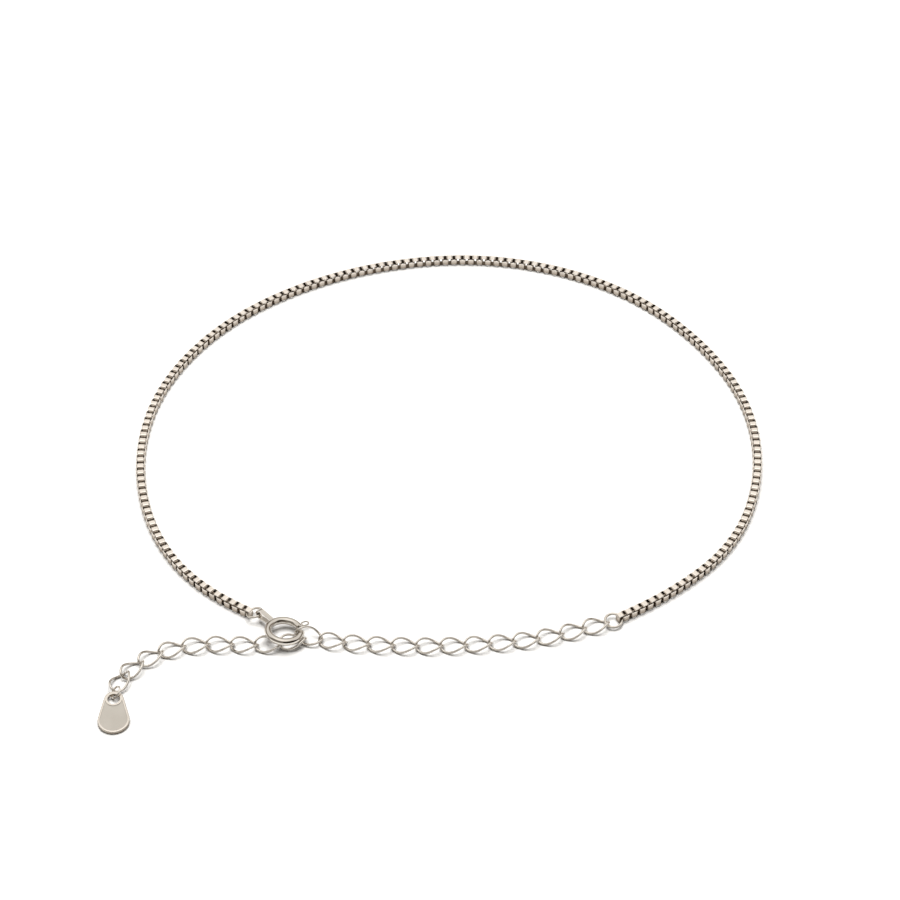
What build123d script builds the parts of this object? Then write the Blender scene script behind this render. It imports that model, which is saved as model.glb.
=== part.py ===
from build123d import *
import os
from collections import namedtuple
from math import cos, pi, radians, sin, tan

# Chain anklet of white precious metal, fastened and lying on a flat surface.
# A box chain runs round the back of the loop.  Its right end carries a jump ring and an
# adjuster of 22 twisted links, which runs along the front and ends in a small tag.  Its
# left end carries a jump ring and a spring-ring clasp, whose bolt holds adjuster link 13.
# Millimetres.  +Z is up, +Y points to the back of the loop, and the origin is the centre
# of the bounding box, on the surface that the anklet rests on.

Pose = namedtuple("Pose", "x y z heading pitch roll")
Ring = namedtuple("Ring", "centre normal radius wire")

# ---- box chain -------------------------------------------------------------------
CHAIN_SIDE = 1.2             # outside width and height of the box chain
CHAIN_EDGE = 0.12            # rounding along the chain's four edges
CHAIN_ROUTE = [              # corners of the centreline, from the clasp end to the adjuster end
    (-23.85, -24.69), (-30.6, -20.8), (-37.6, -10.3), (-40.3, 3.1), (-38.6, 16.1),
    (-32.4, 27.7), (-22.8, 36.5), (-10.6, 42.3), (2.8, 44.4), (15.5, 42.1),
    (26.8, 35.8), (35.6, 25.4), (40.7, 13.4), (41.2, 0.0), (37.1, -12.6),
    (28.0, -21.8), (21.38, -25.57),
]
EYE_LENGTH = 1.005           # the last box link at each end, which takes the jump ring
EYE_WIDTH = 0.76
EYE_PLATE = 0.2              # thickness of its strip

# ---- adjuster links --------------------------------------------------------------
LINK_WIRE = 0.31             # wire diameter
LINK_HALF_LENGTH = 1.69      # of the wire's centreline
LINK_HALF_WIDTH = 1.09
LINK_TWIST = 45.0            # degrees that each end is twisted, one way and the other
LINK_CORNERS = 16            # corners of the path that the wire follows
CORNER_REACH = 0.03          # how far the corners stand outside the centreline
LINK_REST = 0.565            # height of a lying link's centre
LOOP_STEP = 2.99             # from link to link along the loop
TAIL_STEP = 2.97             # from link to link along the hanging tail
HELD_LINKS = {               # links placed by the clasp and by what they hook into
    12: Pose(-13.71, -29.24, 0.57, -8.5, 0.0, 0.0),
    13: Pose(-16.668, -28.744, 0.913, -7.1, -11.68, 33.52),
    14: Pose(-18.648, -29.345, 0.648, 16.3, 0.53, 0.63),
    15: Pose(-21.579, -29.845, 0.621, 4.62, -3.08, 7.04),
    16: Pose(-24.55, -29.88, 0.57, -2.0, 0.0, 0.0),
    20: Pose(-35.87, -31.96, 0.665, 36.0, -3.0, -3.3),
    21: Pose(-38.00, -33.93, 0.674, 46.9, -0.6, -2.1),
    22: Pose(-39.312, -35.97, 0.684, 64.8, -0.66, -8.32),
}
LOOP_HEADINGS = {            # degrees from +X, for the links between link 12 and the end ring
    11: -6.0, 10: -3.5, 9: -2.0, 8: 0.5, 7: 3.0, 6: 4.5,
    5: 6.5, 4: 10.0, 3: 14.5, 2: 19.0, 1: 18.0,
}
TAIL_HEADINGS = {17: -1.0, 18: 7.0, 19: 18.0}    # the same, from link 16 to link 20

# ---- rings -----------------------------------------------------------------------
END_RING = Ring((20.916, -25.817, 0.572), (0.022, -0.111, 0.994), 1.04, 0.33)
CLASP_JUMP_RING = Ring((-23.486, -24.883, 0.994), (-0.2, 0.186, 0.962), 0.95, 0.31)
TAG_RING = Ring((-39.671, -37.896, 0.735), (-0.754, -0.087, 0.651), 0.78, 0.25)

# ---- clasp -----------------------------------------------------------------------
CLASP_CENTRE = (-19.668, -28.321, 1.328)
CLASP_NORMAL = (0.118, 0.109, 0.987)
CLASP_RADIUS = 2.025         # of the tube's centreline
CLASP_TUBE = 0.93            # tube diameter
CLASP_BORE = 0.50            # inside diameter of the tube
GAP_START = 0.0              # degrees, from +X towards the back
GAP_END = 26.0
SLOT_START = 31.5            # slot in the tube's outside that the trigger slides along
SLOT_END = 78.0
SLOT_WIDTH = 0.32
BAIL_ANGLE = 137.0           # where the strap bail is soldered on
BAIL_REACH = 4.80            # from the clasp's centre to the bail's far end
BAIL_HEIGHT = 1.30
BAIL_WIDTH = 0.66
BAIL_STRIP = 0.22
BAIL_ROOT = 0.42             # half height of the bail where it meets the tube

BOLT_WIRE = 0.33
BOLT_START = -8.0            # the bolt's nose, inside the tube beyond the gap
BOLT_END = 60.0
TRIGGER_ANGLE = 36.0
TRIGGER_WIRE = 0.20
TRIGGER_CENTRE = 3.07        # from the clasp's centre to the middle of the trigger's loop
TRIGGER_LENGTH = 0.92        # of the loop's centreline
TRIGGER_WIDTH = 0.62

# ---- tag -------------------------------------------------------------------------
TAG_POSE = Pose(-39.82, -38.97, 0.60, 4.0, 4.1, 0.0)   # at the middle of its hole
TAG_TOP_RADIUS = 1.2
TAG_END_RADIUS = 1.93
TAG_CENTRES = 3.12           # between the two round ends
TAG_THICKNESS = 0.45
TAG_HOLE = 1.5
TAG_RIM = 0.27
TAG_RECESS = 0.08
TAG_EDGE = 0.14              # rounding of the plate's outer edges


def corner_radii(points, closed=False):
    """Largest tangent arc that each corner of a route leaves room for."""
    count = len(points)
    corners = range(count) if closed else range(1, count - 1)
    radii = []
    for i in corners:
        before = points[i] - points[i - 1]
        after = points[(i + 1) % count] - points[i]
        turn = radians(before.get_angle(after))
        radii.append(0.45 * min(before.length, after.length) / tan(turn / 2))
    return radii


# ---- box chain -------------------------------------------------------------------
def end_eye(path_end, outward):
    """The last box link, with a hole across it for the jump ring."""
    plane = Plane(origin=path_end, x_dir=outward, z_dir=(0, 0, 1))
    middle = Pos(-EYE_LENGTH / 2, 0, 0)
    body = fillet(Box(EYE_LENGTH, EYE_WIDTH, CHAIN_SIDE).edges().filter_by(Axis.Y), EYE_PLATE)
    hole = Box(EYE_LENGTH - 2 * EYE_PLATE, 2 * EYE_WIDTH, CHAIN_SIDE - 2 * EYE_PLATE)
    return plane * middle * (body - hole)


def box_chain():
    """Square tube along the route, with an eye link at each end."""
    middle_height = CHAIN_SIDE / 2
    route = [Vector(x, y, middle_height) for x, y in CHAIN_ROUTE]
    first_out = (route[0] - route[1]).normalized()
    last_out = (route[-1] - route[-2]).normalized()
    eye_room = EYE_LENGTH - EYE_PLATE
    start = route[0] - first_out * eye_room
    end = route[-1] - last_out * eye_room
    points = [start] + route[1:-1] + [end]
    radii = corner_radii(points)
    print("box chain bend radii", [round(radius, 1) for radius in radii])
    path = FilletPolyline(*points, radius=radii)
    section = Plane(origin=path @ 0, x_dir=(0, 0, 1), z_dir=path % 0) * RectangleRounded(
        CHAIN_SIDE, CHAIN_SIDE, CHAIN_EDGE)
    tube = sweep(section, path=path)
    print("box chain length", round(path.length + 2 * eye_room, 1),
          "tube volume", round(tube.volume, 2),
          "section by length", round(section.area * path.length, 2))
    return tube + end_eye(route[0], first_out) + end_eye(route[-1], last_out)


# ---- adjuster links --------------------------------------------------------------
def link_corner(index):
    """One corner of the twisted link's path, numbered round the link."""
    angle = 2 * pi * (index + 0.5) / LINK_CORNERS
    along = (LINK_HALF_LENGTH + CORNER_REACH) * cos(angle)
    across = (LINK_HALF_WIDTH + CORNER_REACH) * sin(angle)
    twist = -radians(LINK_TWIST) * along / LINK_HALF_LENGTH
    return Vector(along, across * cos(twist), across * sin(twist))


def half_link(first):
    """Half of the link's wire, from the middle of one run to the middle of the opposite one."""
    half = LINK_CORNERS // 2
    corners = [link_corner(first + i) for i in range(-1, half + 1)]
    start = (corners[0] + corners[1]) * 0.5
    end = (corners[-2] + corners[-1]) * 0.5
    points = [start] + corners[1:-1] + [end]
    path = FilletPolyline(*points, radius=corner_radii(corners))
    section = Plane(origin=path @ 0, z_dir=path % 0) * Circle(LINK_WIRE / 2)
    return sweep(section, path=path)


def twisted_link():
    return half_link(0) + half_link(LINK_CORNERS // 2)


def placed(pose):
    """Location of a lying link or tag: roll about its length, then pitch, then heading."""
    turned = Rot(0, 0, pose.heading) * Rot(0, -pose.pitch, 0) * Rot(pose.roll, 0, 0)
    return Pos(pose.x, pose.y, pose.z) * turned


def step_along(pose, heading, step):
    """Pose of the next lying link, half a step along this heading and half along its own."""
    x = pose.x + step / 2 * (cos(radians(pose.heading)) + cos(radians(heading)))
    y = pose.y + step / 2 * (sin(radians(pose.heading)) + sin(radians(heading)))
    return Pose(x, y, LINK_REST, heading, 0.0, 0.0)


def link_poses():
    """Poses of all adjuster links, by number, from the end jump ring to the tag."""
    poses = dict(HELD_LINKS)
    for number, heading in LOOP_HEADINGS.items():
        poses[number] = step_along(poses[number + 1], heading, LOOP_STEP)
    for number, heading in TAIL_HEADINGS.items():
        poses[number] = step_along(poses[number - 1], heading, -TAIL_STEP)
    return poses


# ---- rings -----------------------------------------------------------------------
def wire_ring(ring):
    return Plane(origin=ring.centre, z_dir=ring.normal) * Torus(ring.radius, ring.wire / 2)


# ---- clasp, made about its own centre with the ring in the XY plane ----------------
CLASP_PLANE = Plane(origin=CLASP_CENTRE, x_dir=(1, 0, 0), z_dir=CLASP_NORMAL)


def ring_sector(section, start, end):
    """Turn a section, drawn in the XZ plane, from one clasp angle to another."""
    return Rot(0, 0, start) * revolve(section, Axis.Z, end - start)


def tube_section(diameter):
    return Plane.XZ * Pos(CLASP_RADIUS, 0) * Circle(diameter / 2)


def strap_bail():
    """Flat strap bent round the tube, open crosswise for the jump ring."""
    direction = (cos(radians(BAIL_ANGLE)), sin(radians(BAIL_ANGLE)), 0)
    across = (sin(radians(BAIL_ANGLE)), -cos(radians(BAIL_ANGLE)), 0)
    plane = Plane(origin=(0, 0, 0), x_dir=direction, z_dir=across)
    end_radius = BAIL_HEIGHT / 2
    end_centre = BAIL_REACH - end_radius

    def outline(inset):
        root = Pos(CLASP_RADIUS, 0) * Circle(BAIL_ROOT - inset)
        end = Pos(end_centre, 0) * Circle(end_radius - inset)
        return make_hull(root.edges() + end.edges())

    strap = outline(0) - outline(BAIL_STRIP)
    return plane * extrude(strap, BAIL_WIDTH / 2, both=True)


def clasp_ring():
    """Hollow tube ring with its gap and trigger slot, and the bail soldered on."""
    tube = ring_sector(tube_section(CLASP_TUBE), GAP_END, 360 + GAP_START)
    bore = ring_sector(tube_section(CLASP_BORE), GAP_END, 360 + GAP_START)
    slot_section = Plane.XZ * Pos(CLASP_RADIUS + CLASP_TUBE / 2, 0)
    slot_section = slot_section * Rectangle(CLASP_TUBE, SLOT_WIDTH)
    slot = ring_sector(slot_section, SLOT_START, SLOT_END)
    return CLASP_PLANE * (tube + strap_bail() - bore - slot)


def clasp_bolt():
    """Bolt wire that closes the gap, with the trigger's stem and loop."""
    bolt = ring_sector(tube_section(BOLT_WIRE), BOLT_START, BOLT_END)
    loop_path = SlotOverall(TRIGGER_LENGTH, TRIGGER_WIDTH).wire()
    section = Plane(origin=loop_path @ 0, z_dir=loop_path % 0) * Circle(TRIGGER_WIRE / 2)
    loop = Pos(TRIGGER_CENTRE, 0, 0) * sweep(section, path=loop_path)
    stem_length = TRIGGER_CENTRE - TRIGGER_LENGTH / 2 - CLASP_RADIUS
    stem = Rot(0, 90, 0) * Cylinder(TRIGGER_WIRE / 2, stem_length)
    trigger = Pos(CLASP_RADIUS + stem_length / 2, 0, 0) * stem + loop
    return CLASP_PLANE * (bolt + Rot(0, 0, TRIGGER_ANGLE) * trigger)


# ---- tag -------------------------------------------------------------------------
def teardrop(inset):
    top = Circle(TAG_TOP_RADIUS - inset)
    end = Pos(0, -TAG_CENTRES) * Circle(TAG_END_RADIUS - inset)
    return make_hull(top.edges() + end.edges())


def tag():
    """Teardrop plate with a raised rim, a bare recessed panel and a hole at its narrow end."""
    plate = extrude(teardrop(0), TAG_THICKNESS / 2, both=True)
    by_height = plate.edges().group_by(Axis.Z)
    plate = fillet(by_height[-1] + by_height[0], TAG_EDGE)
    hole = Cylinder(TAG_HOLE / 2, 2 * TAG_THICKNESS)
    hole_rim = Circle(TAG_HOLE / 2 + TAG_RIM)
    panel = extrude(teardrop(TAG_RIM) - hole_rim, TAG_THICKNESS)
    panel = Pos(0, 0, TAG_THICKNESS / 2 - TAG_RECESS) * panel
    turned = Rot(0, 0, TAG_POSE.heading) * Rot(TAG_POSE.pitch, 0, 0)
    return Pos(TAG_POSE.x, TAG_POSE.y, TAG_POSE.z) * turned * (plate - hole - panel)


# ---- export ----------------------------------------------------------------------
def write(name, shape):
    shape.label = name
    export_step(shape, f"parts/{name}.step")


os.makedirs("parts", exist_ok=True)
write("box_chain", box_chain())
write("end_jump_ring", wire_ring(END_RING))
write("clasp_jump_ring", wire_ring(CLASP_JUMP_RING))
write("tag_jump_ring", wire_ring(TAG_RING))
write("clasp_ring", clasp_ring())
write("clasp_bolt", clasp_bolt())
write("tag", tag())
link = twisted_link()
print("adjuster link bend radii", [round(r, 2) for r in corner_radii(
    [link_corner(i) for i in range(LINK_CORNERS)], closed=True)])
for number, pose in sorted(link_poses().items()):
    write(f"adjuster_link_{number:02d}", placed(pose) * link)
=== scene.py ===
from math import asin, atan2, cos, pi, radians, sin, sqrt

import bpy
import numpy as np
from mathutils import Matrix


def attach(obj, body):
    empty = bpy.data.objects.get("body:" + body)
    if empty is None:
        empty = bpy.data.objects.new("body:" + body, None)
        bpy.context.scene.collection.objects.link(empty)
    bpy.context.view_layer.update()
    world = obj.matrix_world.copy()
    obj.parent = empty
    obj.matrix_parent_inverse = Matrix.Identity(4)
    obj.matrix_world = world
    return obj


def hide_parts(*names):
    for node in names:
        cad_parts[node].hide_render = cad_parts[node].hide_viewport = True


# Chain anklet, lying fastened on a white floor.  The sizes and poses below are those of the
# CAD source, in millimetres; meshes are made in millimetres and stored in metres.

MM = 0.001
RANDOM = np.random.default_rng(7)
BODY = "anklet"
BOLT_BODY = "clasp_bolt"

# ---- box chain
CHAIN_ROUTE = [
    (-23.85, -24.69), (-30.6, -20.8), (-37.6, -10.3), (-40.3, 3.1), (-38.6, 16.1),
    (-32.4, 27.7), (-22.8, 36.5), (-10.6, 42.3), (2.8, 44.4), (15.5, 42.1),
    (26.8, 35.8), (35.6, 25.4), (40.7, 13.4), (41.2, 0.0), (37.1, -12.6),
    (28.0, -21.8), (21.38, -25.57),
]
BOX_LENGTH = 0.925              # of one link, along the chain
BOX_END = 0.5025                # from the route's end to the middle of the last link
BOX_SIDE = 1.2
BOX_WIDTH = 0.76                # of the strip that a link is bent from
BOX_STRIP = 0.16                # thickness of that strip
BOX_CORNER = 0.28
BOX_EDGE = 0.045
BOX_PITCH = 0.605
BOX_JITTER = radians(0.9)       # spread of each link's turn about the upright
PITCH_SHARE = 0.4               # of that spread, for its two tilts
ROLL_SHARE = 0.6

# ---- adjuster links: x, y, z, heading, pitch, roll
LINK_WIRE = 0.31
LINK_HALF_LENGTH = 1.69
LINK_HALF_WIDTH = 1.09
LINK_TWIST = radians(45)
LINK_REST = 0.565
LOOP_STEP = 2.99
TAIL_STEP = 2.97
HELD_LINKS = {
    12: (-13.71, -29.24, 0.57, -8.5, 0.0, 0.0),
    13: (-16.668, -28.744, 0.913, -7.1, -11.68, 33.52),
    14: (-18.648, -29.345, 0.648, 16.3, 0.53, 0.63),
    15: (-21.579, -29.845, 0.621, 4.62, -3.08, 7.04),
    16: (-24.55, -29.88, 0.57, -2.0, 0.0, 0.0),
    20: (-35.87, -31.96, 0.665, 36.0, -3.0, -3.3),
    21: (-38.00, -33.93, 0.674, 46.9, -0.6, -2.1),
    22: (-39.312, -35.97, 0.684, 64.8, -0.66, -8.32),
}
LOOP_HEADINGS = {
    11: -6.0, 10: -3.5, 9: -2.0, 8: 0.5, 7: 3.0, 6: 4.5,
    5: 6.5, 4: 10.0, 3: 14.5, 2: 19.0, 1: 18.0,
}
TAIL_HEADINGS = {17: -1.0, 18: 7.0, 19: 18.0}

# ---- rings: centre, normal, centreline radius, wire
RINGS = {
    "end_jump_ring": ((20.916, -25.817, 0.572), (0.022, -0.111, 0.994), 1.04, 0.33),
    "clasp_jump_ring": ((-23.486, -24.883, 0.994), (-0.2, 0.186, 0.962), 0.95, 0.31),
    "tag_jump_ring": ((-39.671, -37.896, 0.735), (-0.754, -0.087, 0.651), 0.78, 0.25),
}

# ---- clasp, about its own centre, angles from its +X
CLASP_CENTRE = (-19.668, -28.321, 1.328)
CLASP_NORMAL = (0.118, 0.109, 0.987)
CLASP_RADIUS = 2.025
CLASP_TUBE = 0.93
CLASP_BORE = 0.50
GAP_START = 0.0
GAP_END = 26.0
SLOT_START = 31.5
SLOT_END = 78.0
SLOT_WIDTH = 0.32
CLASP_EDGE = 0.035
BAIL_ANGLE = 137.0
BAIL_REACH = 4.80
BAIL_HEIGHT = 1.30
BAIL_WIDTH = 0.66
BAIL_STRIP = 0.22
BAIL_ROOT = 0.42
BAIL_EDGE = 0.05
BOLT_WIRE = 0.33
BOLT_START = -8.0
BOLT_END = 60.0
TRIGGER_ANGLE = 36.0
TRIGGER_WIRE = 0.20
TRIGGER_CENTRE = 3.07
TRIGGER_LENGTH = 0.92
TRIGGER_WIDTH = 0.62

# ---- tag, about the middle of its hole
TAG_HOLE_CENTRE = (-39.82, -38.97, 0.60)
TAG_HEADING = 4.0
TAG_SLOPE = 4.1
TAG_TOP_RADIUS = 1.2
TAG_END_RADIUS = 1.93
TAG_CENTRES = 3.12
TAG_THICKNESS = 0.45
TAG_HOLE = 1.5
TAG_RIM = 0.27
TAG_RECESS = 0.08
TAG_EDGE = 0.14                 # rounding of the plate's outer edges
TAG_SMALL_EDGE = 0.03           # rounding of its other edges

# ---- how finely round shapes are divided
LINK_POINTS = 112
LINK_SIDES = 18
RING_POINTS = 120
RING_SIDES = 24
BOLT_POINTS = 60
TRIGGER_ARC_POINTS = 24
TRIGGER_SIDES = 16
STEM_POINTS = 12
BEVEL_ANGLE = radians(35)       # edges sharper than this are rounded
BEVEL_SEGMENTS = 2

# ---- metal texture: scale of each noise for each metre, and the part of its range that counts
TONE_SCALE = 420.0
TONE_RANGE = (0.35, 0.65)
POLISH_SCALE = 1500.0
POLISH_RANGE = (0.3, 0.7)
GRAIN_SCALE = 9000.0
GRAIN_STRENGTH = 0.6
HAIRLINE_SCALE = 700.0
HAIRLINE_STRENGTH = 0.5
HAIRLINE_ANGLE = radians(28)
HAIRLINE_STRETCH = (1.0, 26.0, 3.0)
MICROMETRE = 1e-6

# ---- studio: floor, what the metal reflects, lamp and camera, in metres
FLOOR_SIZE = 2.5                # from its middle to its edge
FLOOR_DEPTH = 0.00002           # below the anklet
FLOOR_WHITE = (0.93, 0.93, 0.93)
FLOOR_GLOW = 0.02
CONTACT_SHADE = (0.24, 0.215, 0.185)
CONTACT_REACH = (0.0002, 0.0030)    # the shade ends between these distances from the metal
FAR_AWAY = (0.09, 0.17)             # plain white begins between these distances
FAR_FLOOR = (0.90, 0.88, 0.85)
FAR_FLOOR_TOP = (0.07, 0.01)
BACKDROP = (1.00, 0.97, 0.92)
BACKDROP_FOOT = (0.26, 0.22, 0.18)
BACKDROP_RISE = (0.34, 0.58)
BACKDROP_LEAN = 0.20
BACKDROP_EDGE = (-0.06, 0.10)
SOFTBOX = (1.40, 1.36, 1.30)
SOFTBOX_EDGE = (0.82, 0.94)
FRONT_WALL = (0.26, 0.24, 0.21)
DARK_FLAG = (0.024, 0.016, 0.011)
FLAG_SIDE = (0.866, -0.5, 0.0)
FLAG_EDGE = (0.40, 0.50)
FLAG_TOP = (0.74, 0.58)
FILL_LIGHT = 0.05
FILL_TINT = (1.0, 0.92, 0.80)
LAMP_PLACE = (-0.03, 0.08, 0.58)
LAMP_SIZE = 0.50
LAMP_POWER = 5.6
LAMP_TINT = (1.0, 0.985, 0.96)
CAMERA_AIM = (0.0007, 0.0055, 0.0)
CAMERA_DISTANCE = 0.38947
CAMERA_ELEVATION = radians(43.4)
CAMERA_LENS = 118.4
CAMERA_SENSOR = 36.0

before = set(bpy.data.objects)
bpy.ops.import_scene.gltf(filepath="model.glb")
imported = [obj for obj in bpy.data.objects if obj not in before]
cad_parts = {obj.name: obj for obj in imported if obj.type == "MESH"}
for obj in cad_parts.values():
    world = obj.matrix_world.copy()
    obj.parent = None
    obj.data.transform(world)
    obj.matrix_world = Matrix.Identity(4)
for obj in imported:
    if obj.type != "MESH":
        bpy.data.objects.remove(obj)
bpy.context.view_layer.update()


# ---- vectors and frames
def unit(v):
    v = np.asarray(v, float)
    return v / np.linalg.norm(v, axis=-1, keepdims=True)


def axes_about(normal):
    """Rows x, y, z of the plane with this normal whose x is nearest to world X."""
    z = unit(normal)
    x = unit(np.array([1.0, 0.0, 0.0]) - z * z[0])
    return np.array([x, np.cross(z, x), z])


def rotation(heading, pitch, roll):
    """Rows x, y, z of a lying link: roll about its length, then pitch, then heading."""
    h, p, r = radians(heading), radians(pitch), radians(roll)
    about_z = np.array([[cos(h), -sin(h), 0], [sin(h), cos(h), 0], [0, 0, 1]])
    about_y = np.array([[cos(p), 0, -sin(p)], [0, 1, 0], [sin(p), 0, cos(p)]])
    about_x = np.array([[1, 0, 0], [0, cos(r), -sin(r)], [0, sin(r), cos(r)]])
    return (about_z @ about_y @ about_x).T


CLASP_AXES = axes_about(CLASP_NORMAL)


def placed(points, axes, origin):
    return np.asarray(points, float) @ axes + np.asarray(origin, float)


def on_clasp(points):
    return placed(points, CLASP_AXES, CLASP_CENTRE)


# ---- meshes
def grid_faces(rows, columns, close_rows=False):
    """Quads between neighbouring points of a grid stored row by row, its columns in a ring."""
    faces = []
    for i in range(rows if close_rows else rows - 1):
        below = (i + 1) % rows
        for j in range(columns):
            beside = (j + 1) % columns
            faces.append((i * columns + j, below * columns + j,
                          below * columns + beside, i * columns + beside))
    return faces


def facing_out(points, faces):
    """The faces, all reversed if the closed surface they make is inside out."""
    volume = 0.0
    for face in faces:
        a = points[face[0]]
        for b, c in zip(face[1:-1], face[2:]):
            volume += np.dot(a, np.cross(points[b], points[c]))
    return faces if volume > 0 else [tuple(reversed(face)) for face in faces]


def add_piece(name, points, faces, material, nodes, body=BODY, normals=None):
    """A smooth-shaded mesh object that rides on a body and stands for CAD nodes."""
    mesh = bpy.data.meshes.new(name)
    mesh.from_pydata((np.asarray(points) * MM).tolist(), [], faces)
    mesh.validate()
    mesh.shade_smooth()
    if normals is not None:
        mesh.normals_split_custom_set_from_vertices(np.asarray(normals).tolist())
    piece = bpy.data.objects.new(name, mesh)
    bpy.context.scene.collection.objects.link(piece)
    mesh.materials.append(material)
    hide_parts(*nodes)
    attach(piece, body)
    return piece


def wire(path, outward, radius, sides=20, closed=True, cap_rows=5):
    """Round wire along a path.  Open ends are domed.  Returns points and faces."""
    path = np.asarray(path, float)
    if closed:
        tangent = unit(np.roll(path, -1, 0) - np.roll(path, 1, 0))
    else:
        tangent = unit(np.gradient(path, axis=0))
    side = unit(outward - tangent * np.sum(outward * tangent, 1, keepdims=True))
    other = np.cross(tangent, side)
    radii = np.full(len(path), radius)
    if not closed:
        dome = np.linspace(pi / 2, 0, cap_rows + 1)[:-1]
        start = [path[0] - tangent[0] * radius * sin(a) for a in dome]
        end = [path[-1] + tangent[-1] * radius * sin(a) for a in dome[::-1]]
        shrunk = [radius * max(cos(a), 0.02) for a in dome]
        path = np.vstack([start, path, end])
        side = np.vstack([[side[0]] * cap_rows, side, [side[-1]] * cap_rows])
        other = np.vstack([[other[0]] * cap_rows, other, [other[-1]] * cap_rows])
        radii = np.concatenate([shrunk, radii, shrunk[::-1]])
    angles = np.linspace(0, 2 * pi, sides, endpoint=False)
    rings = (path[:, None] + radii[:, None, None]
             * (np.cos(angles)[None, :, None] * side[:, None]
                + np.sin(angles)[None, :, None] * other[:, None]))
    faces = grid_faces(len(path), sides, close_rows=closed)
    if not closed:
        last = (len(path) - 1) * sides
        faces.append(tuple(range(sides)))
        faces.append(tuple(last + i for i in reversed(range(sides))))
    points = rings.reshape(-1, 3)
    return points, facing_out(points, faces)


def strap_loop(outline, outline_normals, strip, width, edge):
    """Flat strip bent into a closed loop.  The outline, its outside, lies in the XZ plane."""
    half = width / 2
    section = [
        (0, half - edge, 1, 0), (edge, half, 0, 1), (strip - edge, half, 0, 1),
        (strip, half - edge, -1, 0), (strip, edge - half, -1, 0),
        (strip - edge, -half, 0, -1), (edge, -half, 0, -1), (0, edge - half, 1, 0),
    ]
    points, normals = [], []
    for (x, z), (nx, nz) in zip(outline, outline_normals):
        for depth, across, out, side in section:
            points.append((x - nx * depth, across, z - nz * depth))
            normals.append((nx * out, side, nz * out))
    points = np.array(points)
    faces = grid_faces(len(outline), len(section), close_rows=True)
    return points, facing_out(points, faces), np.array(normals)


def painted_shade_faces(strap_faces, sides=8):
    """For each face of strap_loop: 1 inside the loop, which gets the painted shade; 0 outside and
    on the cut edges.
    """
    return [1 if 2 <= i % sides <= 4 else 0 for i in range(len(strap_faces))]


def rounded_rectangle(half_x, half_z, radius, steps):
    """Outline and normals, anticlockwise in XZ."""
    points, normals = [], []
    for corner, (sx, sz) in enumerate([(1, 1), (-1, 1), (-1, -1), (1, -1)]):
        for a in np.linspace(corner * pi / 2, (corner + 1) * pi / 2, steps + 1):
            normals.append((cos(a), sin(a)))
            points.append((sx * (half_x - radius) + radius * cos(a),
                           sz * (half_z - radius) + radius * sin(a)))
    return points, normals


def two_circle_hull(near_radius, far_radius, distance, steps):
    """Outline and normals of the hull of a circle at 0 and one at +distance along X."""
    tilt = asin((near_radius - far_radius) / distance)
    far_arc = np.linspace(-pi / 2 + tilt, pi / 2 - tilt, steps)
    near_arc = np.linspace(pi / 2 - tilt, 3 * pi / 2 + tilt, steps)
    points = [(distance + far_radius * cos(a), far_radius * sin(a)) for a in far_arc]
    points += [(near_radius * cos(a), near_radius * sin(a)) for a in near_arc]
    normals = [(cos(a), sin(a)) for a in list(far_arc) + list(near_arc)]
    return points, normals


def bevel(piece, width):
    """Rounds the piece's sharp edges and keeps its flat faces flat."""
    rounding = piece.modifiers.new("rounded_edges", "BEVEL")
    rounding.width = width * MM
    rounding.segments = BEVEL_SEGMENTS
    rounding.limit_method = "ANGLE"
    rounding.angle_limit = BEVEL_ANGLE
    rounding.harden_normals = True


# ---- materials
def node_tree(material):
    material.use_nodes = True
    nodes = material.node_tree.nodes
    nodes.clear()
    return nodes, material.node_tree.links


def noise_node(nodes, links, vector, scale, detail):
    node = nodes.new("ShaderNodeTexNoise")
    node.inputs["Scale"].default_value = scale
    node.inputs["Detail"].default_value = detail
    links.new(vector, node.inputs["Vector"])
    return node.outputs["Fac"]


def bump_node(nodes, links, height, distance, strength):
    node = nodes.new("ShaderNodeBump")
    node.inputs["Distance"].default_value = distance
    node.inputs["Strength"].default_value = strength
    links.new(height, node.inputs["Height"])
    return node


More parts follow.
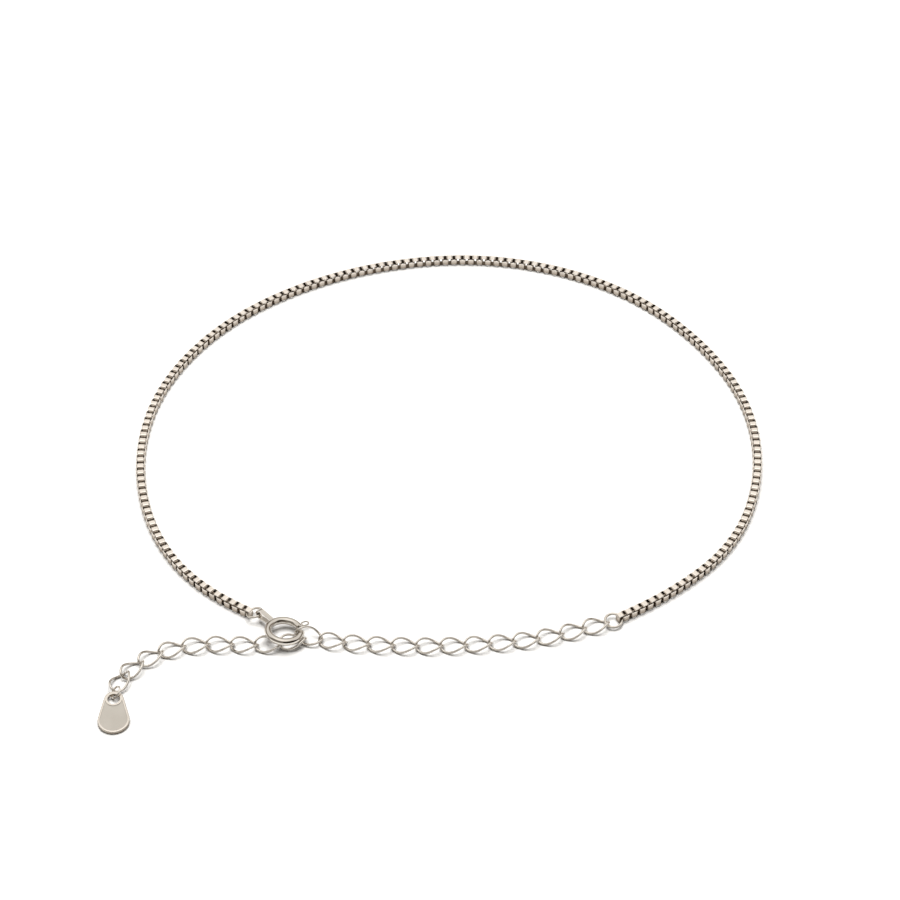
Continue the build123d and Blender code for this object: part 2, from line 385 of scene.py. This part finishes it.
def metal(name, light, dark, rough, grain, scratch=0.0):
    """Metal with slight tone changes, uneven polish and fine marks.

    light, dark: the two tones; rough: lowest and highest roughness;
    grain, scratch: height of the surface texture and of the hairlines, in micrometres."""
    material = bpy.data.materials.new(name)
    nodes, links = node_tree(material)
    output = nodes.new("ShaderNodeOutputMaterial")
    shader = nodes.new("ShaderNodeBsdfPrincipled")
    shader.inputs["Metallic"].default_value = 1.0
    links.new(shader.outputs[0], output.inputs[0])
    place = nodes.new("ShaderNodeTexCoord").outputs["Object"]

    tone = noise_node(nodes, links, place, TONE_SCALE, 4.0)
    tone_ramp = nodes.new("ShaderNodeValToRGB")
    for element, position, colour in zip(tone_ramp.color_ramp.elements, TONE_RANGE, (dark, light)):
        element.position = position
        element.color = (*colour, 1)
    links.new(tone, tone_ramp.inputs["Fac"])
    links.new(tone_ramp.outputs["Color"], shader.inputs["Base Color"])

    polish = noise_node(nodes, links, place, POLISH_SCALE, 3.0)
    polish_range = nodes.new("ShaderNodeMapRange")
    polish_range.inputs["From Min"].default_value = POLISH_RANGE[0]
    polish_range.inputs["From Max"].default_value = POLISH_RANGE[1]
    polish_range.inputs["To Min"].default_value = rough[0]
    polish_range.inputs["To Max"].default_value = rough[1]
    links.new(polish, polish_range.inputs["Value"])
    links.new(polish_range.outputs["Result"], shader.inputs["Roughness"])

    texture = noise_node(nodes, links, place, GRAIN_SCALE, 2.0)
    surface = bump_node(nodes, links, texture, grain * MICROMETRE, GRAIN_STRENGTH)
    if scratch:
        stretch = nodes.new("ShaderNodeMapping")
        stretch.inputs["Rotation"].default_value = (0.0, 0.0, HAIRLINE_ANGLE)
        stretch.inputs["Scale"].default_value = HAIRLINE_STRETCH
        links.new(place, stretch.inputs["Vector"])
        hairs = noise_node(nodes, links, stretch.outputs["Vector"], HAIRLINE_SCALE, 5.0)
        marks = bump_node(nodes, links, hairs, scratch * MICROMETRE, HAIRLINE_STRENGTH)
        links.new(surface.outputs["Normal"], marks.inputs["Normal"])
        surface = marks
    links.new(surface.outputs["Normal"], shader.inputs["Normal"])
    return material


# Base tones: the chain's is set pale partly as painted light, so that its tops come out near
# white, and the clasp's is set dark partly as painted shade; the rest is each part's own tone.
CHAIN_METAL = metal("chain_metal", light=(0.94, 0.88, 0.815), dark=(0.88, 0.815, 0.75),
                    rough=(0.10, 0.18), grain=2.0, scratch=1.0)
# Dark brown painted shade for the insides of the box links, where neighbouring links shade each
# other.
PAINTED_SHADE_METAL = metal("chain_painted_shade_metal", light=(0.15, 0.115, 0.085), dark=(0.08, 0.06, 0.045),
                     rough=(0.28, 0.42), grain=3.0)
LINK_METAL = metal("link_metal", light=(0.82, 0.785, 0.74), dark=(0.75, 0.715, 0.67),
                   rough=(0.05, 0.10), grain=1.2)
RING_METAL = metal("ring_metal", light=(0.80, 0.765, 0.715), dark=(0.73, 0.69, 0.64),
                   rough=(0.06, 0.12), grain=1.5)
CLASP_METAL = metal("clasp_metal", light=(0.68, 0.645, 0.60), dark=(0.61, 0.575, 0.53),
                    rough=(0.06, 0.11), grain=1.0, scratch=1.0)
TAG_METAL = metal("tag_rim_metal", light=(0.85, 0.80, 0.74), dark=(0.80, 0.75, 0.69),
                  rough=(0.08, 0.14), grain=1.5, scratch=1.0)
PANEL_METAL = metal("tag_panel_metal", light=(0.60, 0.57, 0.525), dark=(0.56, 0.53, 0.485),
                    rough=(0.30, 0.38), grain=4.0, scratch=1.5)


# ---- box chain
def chain_line():
    """Points of the NURBS spline whose control points are the route, in millimetres."""
    curve = bpy.data.curves.new("chain_route", "CURVE")
    curve.dimensions = "3D"
    curve.resolution_u = 40
    spline = curve.splines.new("NURBS")
    spline.points.add(len(CHAIN_ROUTE) - 1)
    for point, (x, y) in zip(spline.points, CHAIN_ROUTE):
        point.co = (x * MM, y * MM, BOX_SIDE / 2 * MM, 1.0)
    spline.order_u = 3
    spline.use_endpoint_u = True
    holder = bpy.data.objects.new("chain_route", curve)
    bpy.context.scene.collection.objects.link(holder)
    bpy.context.view_layer.update()
    line = bpy.data.meshes.new_from_object(holder)
    points = np.array([v.co[:] for v in line.vertices]) / MM
    bpy.data.objects.remove(holder)
    bpy.data.curves.remove(curve)
    bpy.data.meshes.remove(line)
    return points


def box_chain():
    """All box links, each at right angles to its neighbours, as one mesh."""
    line = chain_line()
    steps = np.linalg.norm(np.diff(line, axis=0), axis=1)
    along = np.concatenate([[0], np.cumsum(steps)])
    count = 2 * round((along[-1] - 2 * BOX_END) / BOX_PITCH / 2) + 1
    centres = np.linspace(BOX_END, along[-1] - BOX_END, count)
    outline, outline_normals = rounded_rectangle(BOX_LENGTH / 2, BOX_SIDE / 2, BOX_CORNER, 4)
    link, link_faces, link_normals = strap_loop(
        outline, outline_normals, BOX_STRIP, BOX_WIDTH, BOX_EDGE)
    quarter_turn = np.array([[1, 0, 0], [0, 0, 1], [0, -1, 0]])
    points, faces, normals = [], [], []
    for i, s in enumerate(centres):
        back = [np.interp(s - BOX_PITCH / 2, along, line[:, k]) for k in range(3)]
        front = [np.interp(s + BOX_PITCH / 2, along, line[:, k]) for k in range(3)]
        middle = [np.interp(s, along, line[:, k]) for k in range(3)]
        x = unit(np.subtract(front, back))
        axes = np.array([x, (-x[1], x[0], 0), (0, 0, 1)])
        yaw, pitch, roll = RANDOM.normal(0, BOX_JITTER, 3).clip(-2 * BOX_JITTER, 2 * BOX_JITTER)
        jitter = rotation(yaw * 180 / pi, PITCH_SHARE * pitch * 180 / pi,
                          ROLL_SHARE * roll * 180 / pi)
        turn = quarter_turn if i % 2 else np.eye(3)
        whole = turn @ jitter @ axes
        points.append(link @ whole + middle)
        normals.append(link_normals @ whole)
        first = i * len(link)
        faces += [tuple(first + v for v in face) for face in link_faces]
    print("box chain:", round(along[-1], 1), "mm,", count, "links")
    points = np.vstack(points)
    points[:, 2] = np.maximum(points[:, 2], 0.0)
    piece = add_piece("box_chain_links", points, faces, CHAIN_METAL,
                      ["box_chain"], normals=np.vstack(normals))
    # The insides of the links get the painted shade material.
    piece.data.materials.append(PAINTED_SHADE_METAL)
    piece.data.polygons.foreach_set("material_index", painted_shade_faces(link_faces) * count)


# ---- adjuster links
def link_poses():
    def step_along(pose, heading, step):
        a, b = radians(pose[3]), radians(heading)
        return (pose[0] + step / 2 * (cos(a) + cos(b)), pose[1] + step / 2 * (sin(a) + sin(b)),
                LINK_REST, heading, 0.0, 0.0)

    poses = dict(HELD_LINKS)
    for number, heading in LOOP_HEADINGS.items():
        poses[number] = step_along(poses[number + 1], heading, LOOP_STEP)
    for number, heading in TAIL_HEADINGS.items():
        poses[number] = step_along(poses[number - 1], heading, -TAIL_STEP)
    return poses


def twisted_link():
    """Oval wire link, twisted about its length, and the direction out of it at each point."""
    t = np.linspace(0, 2 * pi, LINK_POINTS, endpoint=False)
    along = LINK_HALF_LENGTH * np.cos(t)
    twist = -LINK_TWIST * along / LINK_HALF_LENGTH
    across = LINK_HALF_WIDTH * np.sin(t)
    path = np.stack([along, across * np.cos(twist), across * np.sin(twist)], 1)
    out_x = np.cos(t) / LINK_HALF_LENGTH
    out_y = np.sin(t) / LINK_HALF_WIDTH
    outward = np.stack([out_x, out_y * np.cos(twist), out_y * np.sin(twist)], 1)
    return wire(path, outward, LINK_WIRE / 2, sides=LINK_SIDES)


def adjuster_links():
    points, faces = twisted_link()
    for number, (x, y, z, heading, pitch, roll) in sorted(link_poses().items()):
        world = placed(points, rotation(heading, pitch, roll), (x, y, z))
        add_piece(f"link_wire_{number:02d}", world, faces, LINK_METAL,
                  [f"adjuster_link_{number:02d}"])


# ---- rings
def jump_rings():
    t = np.linspace(0, 2 * pi, RING_POINTS, endpoint=False)
    circle = np.stack([np.cos(t), np.sin(t), 0 * t], 1)
    for node, (centre, normal, radius, thickness) in RINGS.items():
        points, faces = wire(circle * radius, circle, thickness / 2, sides=RING_SIDES)
        add_piece(node + "_wire", placed(points, axes_about(normal), centre), faces,
                  RING_METAL, [node])


# ---- clasp
def ring_point(angle, around, radius):
    """Point of the clasp's tube: angle round the ring, then angle round the tube."""
    reach = CLASP_RADIUS + radius * cos(around)
    return (reach * cos(angle), reach * sin(angle), radius * sin(around))


def clasp_tube():
    """Hollow tube ring, open at the gap, with the trigger's slot cut through its outside."""
    slot_columns, other_columns = 6, 30
    rows_before, rows_in_slot, rows_after = 3, 19, 109
    rows = np.concatenate([
        np.linspace(GAP_END, SLOT_START, rows_before + 1)[:-1],
        np.linspace(SLOT_START, SLOT_END, rows_in_slot + 1)[:-1],
        np.linspace(SLOT_END, 360 + GAP_START, rows_after + 1)])
    first_slot, last_slot = rows_before, rows_before + rows_in_slot
    columns = slot_columns + other_columns
    skins = []
    for radius in (CLASP_TUBE / 2, CLASP_BORE / 2):
        edge = asin(SLOT_WIDTH / 2 / radius)
        around = np.concatenate([np.linspace(-edge, edge, slot_columns + 1)[:-1],
                                 np.linspace(edge, 2 * pi - edge, other_columns + 1)[:-1]])
        skins.append([ring_point(radians(a), b, radius) for a in rows for b in around])
    points = np.array(skins[0] + skins[1])
    inside = len(skins[0])

    def in_slot(i, j):
        return first_slot <= i < last_slot and j < slot_columns

    faces = []
    for i in range(len(rows) - 1):
        for j in range(columns):
            if in_slot(i, j):
                continue
            a, b = i * columns + j, (i + 1) * columns + j
            c, d = (i + 1) * columns + (j + 1) % columns, i * columns + (j + 1) % columns
            faces.append((a, b, c, d))
            faces.append((inside + d, inside + c, inside + b, inside + a))
    for i in range(first_slot, last_slot):
        for j, flip in ((0, False), (slot_columns, True)):
            a, b = i * columns + j, (i + 1) * columns + j
            wall = (a, b, inside + b, inside + a)
            faces.append(wall if flip else wall[::-1])
    for i, flip in ((first_slot, True), (last_slot, False)):
        for j in range(slot_columns):
            a, b = i * columns + j, i * columns + j + 1
            wall = (a, b, inside + b, inside + a)
            faces.append(wall[::-1] if flip else wall)
    for i, flip in ((0, False), (len(rows) - 1, True)):
        for j in range(columns):
            a, b = i * columns + j, i * columns + (j + 1) % columns
            wall = (a, b, inside + b, inside + a)
            faces.append(wall[::-1] if flip else wall)
    piece = add_piece("clasp_tube", on_clasp(points), facing_out(points, faces), CLASP_METAL,
                      ["clasp_ring"])
    bevel(piece, CLASP_EDGE)


def clasp_bail():
    """Strap from the tube to the jump ring."""
    distance = BAIL_REACH - BAIL_HEIGHT / 2 - CLASP_RADIUS
    outline, normals = two_circle_hull(BAIL_ROOT, BAIL_HEIGHT / 2, distance, 22)
    points, faces, point_normals = strap_loop(outline, normals, BAIL_STRIP, BAIL_WIDTH, BAIL_EDGE)
    a = radians(BAIL_ANGLE)
    axes = np.array([(cos(a), sin(a), 0), (-sin(a), cos(a), 0), (0, 0, 1)])
    root = (CLASP_RADIUS * cos(a), CLASP_RADIUS * sin(a), 0)
    add_piece("clasp_bail", on_clasp(placed(points, axes, root)), faces, CLASP_METAL,
              ["clasp_ring"], normals=point_normals @ axes @ CLASP_AXES)


def clasp_bolt():
    """Bolt wire, and the trigger's bent wire that stands out of the slot."""
    angles = np.radians(np.linspace(BOLT_START, BOLT_END, BOLT_POINTS))
    out = np.stack([np.cos(angles), np.sin(angles), 0 * angles], 1)
    points, faces = wire(out * CLASP_RADIUS, out, BOLT_WIRE / 2, closed=False)
    add_piece("bolt_wire", on_clasp(points), faces, CLASP_METAL,
              ["clasp_bolt"], BOLT_BODY)

    end_radius = TRIGGER_WIDTH / 2
    half_run = TRIGGER_LENGTH / 2 - end_radius
    arc = np.linspace(-pi / 2, pi / 2, TRIGGER_ARC_POINTS)
    loop = [(half_run + end_radius * cos(a), end_radius * sin(a), 0) for a in arc]
    loop += [(-half_run - end_radius * cos(a), -end_radius * sin(a), 0) for a in arc]
    loop = np.array(loop)
    points, faces = wire(loop, loop, TRIGGER_WIRE / 2, sides=TRIGGER_SIDES)
    stem_reach = TRIGGER_CENTRE - TRIGGER_LENGTH / 2
    stem = np.zeros((STEM_POINTS, 3))
    stem[:, 0] = np.linspace(CLASP_RADIUS, stem_reach, STEM_POINTS)
    sideways = np.tile([0.0, 1.0, 0.0], (STEM_POINTS, 1))
    stem_points, stem_faces = wire(stem, sideways, TRIGGER_WIRE / 2, sides=TRIGGER_SIDES,
                                   closed=False)
    faces += [tuple(v + len(points) for v in face) for face in stem_faces]
    points = np.vstack([points + [TRIGGER_CENTRE, 0, 0], stem_points])
    a = radians(TRIGGER_ANGLE)
    axes = np.array([(cos(a), sin(a), 0), (-sin(a), cos(a), 0), (0, 0, 1)])
    add_piece("trigger_wire", on_clasp(points @ axes), faces, CLASP_METAL,
              ["clasp_bolt"], BOLT_BODY)


# ---- tag
def teardrop(inset, steps=64):
    """Tag outline, anticlockwise, narrow end at the hole and round end towards -Y."""
    outline, _ = two_circle_hull(
        TAG_TOP_RADIUS - inset, TAG_END_RADIUS - inset, TAG_CENTRES, steps)
    return [(y, -x) for x, y in outline][::-1]


def prism(name, outline, low, high):
    """A plain closed solid, as a tool for the tag's boolean cuts."""
    count = len(outline)
    points = [(x * MM, y * MM, z * MM) for z in (low, high) for x, y in outline]
    faces = [tuple(reversed(range(count))), tuple(range(count, 2 * count))]
    faces += [(i, (i + 1) % count, count + (i + 1) % count, count + i) for i in range(count)]
    mesh = bpy.data.meshes.new(name)
    mesh.from_pydata(points, [], faces)
    solid = bpy.data.objects.new(name, mesh)
    bpy.context.scene.collection.objects.link(solid)
    return solid


def rounded_plate(name, half):
    """The tag's plate before it is cut, its outer edges rounded."""
    lower, upper = np.linspace(-pi / 2, 0, 8), np.linspace(0, pi / 2, 8)
    rows = [(TAG_EDGE * (1 - cos(a)), -half + TAG_EDGE * (1 + sin(a))) for a in lower]
    rows += [(TAG_EDGE * (1 - cos(a)), half - TAG_EDGE * (1 - sin(a))) for a in upper]
    outlines = [[(x, y, z) for x, y in teardrop(inset)] for inset, z in rows]
    count = len(outlines[0])
    points = np.array(outlines).reshape(-1, 3)
    faces = [tuple(reversed(face)) for face in grid_faces(len(rows), count)]
    last = (len(rows) - 1) * count
    faces.append(tuple(reversed(range(count))))
    faces.append(tuple(last + i for i in range(count)))
    mesh = bpy.data.meshes.new(name)
    mesh.from_pydata((points * MM).tolist(), [], faces)
    plate = bpy.data.objects.new(name, mesh)
    bpy.context.scene.collection.objects.link(plate)
    return plate


def cut(solid, tool):
    """Takes the tool's volume out of the solid and removes the tool."""
    modifier = solid.modifiers.new("cut", "BOOLEAN")
    modifier.operation = "DIFFERENCE"
    modifier.solver = "EXACT"
    modifier.object = tool
    bpy.context.view_layer.update()
    result = bpy.data.meshes.new_from_object(
        solid.evaluated_get(bpy.context.evaluated_depsgraph_get()))
    solid.modifiers.clear()
    solid.data = result
    bpy.data.objects.remove(tool)


def round_outline(radius, steps=72):
    angles = np.linspace(0, 2 * pi, steps, endpoint=False)
    return [(radius * cos(a), radius * sin(a)) for a in angles]


def tag():
    """Teardrop plate with a raised rim, a bare matte panel and a hole."""
    half = TAG_THICKNESS / 2
    plate = rounded_plate("end_tag", half)
    cut(plate, prism("hole", round_outline(TAG_HOLE / 2), -1, 1))
    panel = prism("panel", teardrop(TAG_RIM), half - TAG_RECESS, 1)
    cut(panel, prism("hole_rim", round_outline(TAG_HOLE / 2 + TAG_RIM), -1, 2))
    cut(plate, panel)
    mesh = plate.data
    mesh.materials.clear()
    mesh.materials.append(TAG_METAL)
    mesh.materials.append(PANEL_METAL)
    panel_height = (half - TAG_RECESS) * MM
    for face in mesh.polygons:
        if abs(face.center.z - panel_height) < MICROMETRE and face.normal.z > 0.9:
            face.material_index = 1
    mesh.shade_smooth()
    h, s = radians(TAG_HEADING), radians(TAG_SLOPE)
    about_z = np.array([[cos(h), -sin(h), 0], [sin(h), cos(h), 0], [0, 0, 1]])
    about_x = np.array([[1, 0, 0], [0, cos(s), -sin(s)], [0, sin(s), cos(s)]])
    matrix = np.eye(4)
    matrix[:3, :3] = about_z @ about_x
    matrix[:3, 3] = np.array(TAG_HOLE_CENTRE) * MM
    mesh.transform(Matrix(matrix.tolist()))
    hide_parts("tag")
    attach(plate, BODY)
    bevel(plate, TAG_SMALL_EDGE)


# ---- studio
def math_node(nodes, links, operation, a, b):
    """A Math node on two inputs, each a socket or a number."""
    node = nodes.new("ShaderNodeMath")
    node.operation = operation
    for slot, value in enumerate((a, b)):
        if isinstance(value, (int, float)):
            node.inputs[slot].default_value = value
        else:
            links.new(value, node.inputs[slot])
    return node.outputs[0]


def ramp_node(nodes, links, value, start, end):
    """0 to 1, smoothly, as value goes from start to end."""
    node = nodes.new("ShaderNodeMapRange")
    node.interpolation_type = "SMOOTHSTEP"
    node.inputs["From Min"].default_value = min(start, end)
    node.inputs["From Max"].default_value = max(start, end)
    node.inputs["To Min"].default_value = 0.0 if start < end else 1.0
    node.inputs["To Max"].default_value = 1.0 if start < end else 0.0
    links.new(value, node.inputs["Value"])
    return node.outputs["Result"]


def mix_node(nodes, links, factor, a, b):
    """Colour a where factor is 0 and b where it is 1, each a socket or a colour."""
    node = nodes.new("ShaderNodeMix")
    node.data_type = "RGBA"
    links.new(factor, node.inputs[0])
    for socket, colour in ((node.inputs[6], a), (node.inputs[7], b)):
        if isinstance(colour, tuple):
            socket.default_value = (*colour, 1)
        else:
            links.new(colour, socket)
    return node.outputs[2]


def floor_material():
    """White floor that shows shadows, and shows white to the camera and in the metal.
    The metal sees the floor right beneath it darker, as in a contact shadow.  Well away
    from the object the floor is plain white."""
    material = bpy.data.materials.new("floor_white")
    nodes, links = node_tree(material)
    output = nodes.new("ShaderNodeOutputMaterial")
    diffuse = nodes.new("ShaderNodeBsdfDiffuse")
    glow = nodes.new("ShaderNodeEmission")
    glow.inputs["Color"].default_value = (1, 1, 1, 1)
    path = nodes.new("ShaderNodeLightPath")
    beyond = ramp_node(nodes, links, path.outputs["Ray Length"], *CONTACT_REACH)
    not_metal = math_node(nodes, links, "SUBTRACT", 1.0, path.outputs["Is Glossy Ray"])
    clear = math_node(nodes, links, "MAXIMUM", beyond, not_metal)
    links.new(mix_node(nodes, links, clear, CONTACT_SHADE, FLOOR_WHITE), diffuse.inputs["Color"])

    seen = math_node(nodes, links, "MAXIMUM", path.outputs["Is Camera Ray"],
                     path.outputs["Is Glossy Ray"])
    seen = math_node(nodes, links, "MAXIMUM", seen, path.outputs["Is Transmission Ray"])
    links.new(math_node(nodes, links, "MULTIPLY", seen, FLOOR_GLOW), glow.inputs["Strength"])
    near = nodes.new("ShaderNodeAddShader")
    links.new(diffuse.outputs[0], near.inputs[0])
    links.new(glow.outputs[0], near.inputs[1])

    distance = nodes.new("ShaderNodeVectorMath")
    distance.operation = "LENGTH"
    links.new(nodes.new("ShaderNodeNewGeometry").outputs["Position"], distance.inputs[0])
    away = ramp_node(nodes, links, distance.outputs["Value"], *FAR_AWAY)
    white = nodes.new("ShaderNodeEmission")
    white.inputs["Color"].default_value = (1, 1, 1, 1)
    whole = nodes.new("ShaderNodeMixShader")
    links.new(math_node(nodes, links, "MULTIPLY", away, seen), whole.inputs[0])
    links.new(near.outputs[0], whole.inputs[1])
    links.new(white.outputs[0], whole.inputs[2])
    links.new(whole.outputs[0], output.inputs[0])
    return material


def add_floor():
    mesh = bpy.data.meshes.new("floor")
    corners = [(-1, -1), (1, -1), (1, 1), (-1, 1)]
    mesh.from_pydata([(x * FLOOR_SIZE, y * FLOOR_SIZE, 0) for x, y in corners], [],
                     [(0, 1, 2, 3)])
    mesh.materials.append(floor_material())
    floor = bpy.data.objects.new("floor", mesh)
    floor.location.z = -FLOOR_DEPTH
    bpy.context.scene.collection.objects.link(floor)


def add_world():
    """Plain light.  The camera sees white.  The metal sees a white floor and a pale backdrop,
    a softbox overhead, a grey wall in front, and a dark flag low at the front right."""
    world = bpy.data.worlds.new("studio")
    bpy.context.scene.world = world
    world.use_nodes = True
    nodes, links = world.node_tree.nodes, world.node_tree.links
    nodes.clear()
    output = nodes.new("ShaderNodeOutputWorld")
    direction = nodes.new("ShaderNodeTexCoord")
    parts = nodes.new("ShaderNodeSeparateXYZ")
    links.new(direction.outputs["Generated"], parts.inputs[0])

    height = parts.outputs["Z"]
    leaning = math_node(nodes, links, "MULTIPLY", height, BACKDROP_LEAN)
    behind = math_node(nodes, links, "ADD", parts.outputs["Y"], leaning)
    behind = ramp_node(nodes, links, behind, *BACKDROP_EDGE)
    raised = ramp_node(nodes, links, height, *BACKDROP_RISE)
    high = ramp_node(nodes, links, height, *SOFTBOX_EDGE)
    near_floor = ramp_node(nodes, links, height, *FAR_FLOOR_TOP)
    sideways = nodes.new("ShaderNodeVectorMath")
    sideways.operation = "DOT_PRODUCT"
    links.new(direction.outputs["Generated"], sideways.inputs[0])
    sideways.inputs[1].default_value = FLAG_SIDE
    beside = ramp_node(nodes, links, sideways.outputs["Value"], *FLAG_EDGE)
    low = ramp_node(nodes, links, height, *FLAG_TOP)
    flag = math_node(nodes, links, "MULTIPLY", beside, low)
    front = mix_node(nodes, links, flag, FRONT_WALL, DARK_FLAG)
    backdrop = mix_node(nodes, links, raised, BACKDROP_FOOT, BACKDROP)
    room = mix_node(nodes, links, behind, front, backdrop)
    room = mix_node(nodes, links, high, room, SOFTBOX)
    room = mix_node(nodes, links, near_floor, room, FAR_FLOOR)
    studio = nodes.new("ShaderNodeBackground")
    links.new(room, studio.inputs["Color"])

    plain = nodes.new("ShaderNodeBackground")
    plain.inputs["Color"].default_value = (*FILL_TINT, 1)
    plain.inputs["Strength"].default_value = FILL_LIGHT
    white = nodes.new("ShaderNodeBackground")
    white.inputs["Color"].default_value = (1, 1, 1, 1)

    path = nodes.new("ShaderNodeLightPath")
    shiny = math_node(nodes, links, "MAXIMUM", path.outputs["Is Glossy Ray"],
                      path.outputs["Is Transmission Ray"])
    lit_or_studio = nodes.new("ShaderNodeMixShader")
    links.new(shiny, lit_or_studio.inputs[0])
    links.new(plain.outputs[0], lit_or_studio.inputs[1])
    links.new(studio.outputs[0], lit_or_studio.inputs[2])
    seen = nodes.new("ShaderNodeMixShader")
    links.new(path.outputs["Is Camera Ray"], seen.inputs[0])
    links.new(lit_or_studio.outputs[0], seen.inputs[1])
    links.new(white.outputs[0], seen.inputs[2])
    links.new(seen.outputs[0], output.inputs[0])


def add_lamp():
    """Square lamp overhead, turned to the origin; the metal reflects the world instead of it."""
    lamp = bpy.data.lights.new("overhead", "AREA")
    lamp.shape = "SQUARE"
    lamp.size = LAMP_SIZE
    lamp.energy = LAMP_POWER
    lamp.color = LAMP_TINT
    holder = bpy.data.objects.new("overhead", lamp)
    holder.location = LAMP_PLACE
    x, y, z = LAMP_PLACE
    holder.rotation_euler = (atan2(sqrt(x * x + y * y), z), 0, atan2(y, x) + pi / 2)
    holder.visible_glossy = False
    bpy.context.scene.collection.objects.link(holder)


def add_camera():
    data = bpy.data.cameras.new("camera")
    data.sensor_width = CAMERA_SENSOR
    data.lens = CAMERA_LENS
    data.clip_start = 0.01
    camera = bpy.data.objects.new("camera", data)
    camera.location = (CAMERA_AIM[0],
                       CAMERA_AIM[1] - CAMERA_DISTANCE * cos(CAMERA_ELEVATION),
                       CAMERA_AIM[2] + CAMERA_DISTANCE * sin(CAMERA_ELEVATION))
    camera.rotation_euler = (pi / 2 - CAMERA_ELEVATION, 0, 0)
    bpy.context.scene.collection.objects.link(camera)
    bpy.context.scene.camera = camera


box_chain()
adjuster_links()
jump_rings()
clasp_tube()
clasp_bail()
clasp_bolt()
tag()
add_floor()
add_world()
add_lamp()
add_camera()
bpy.context.scene.view_settings.view_transform = "Standard"
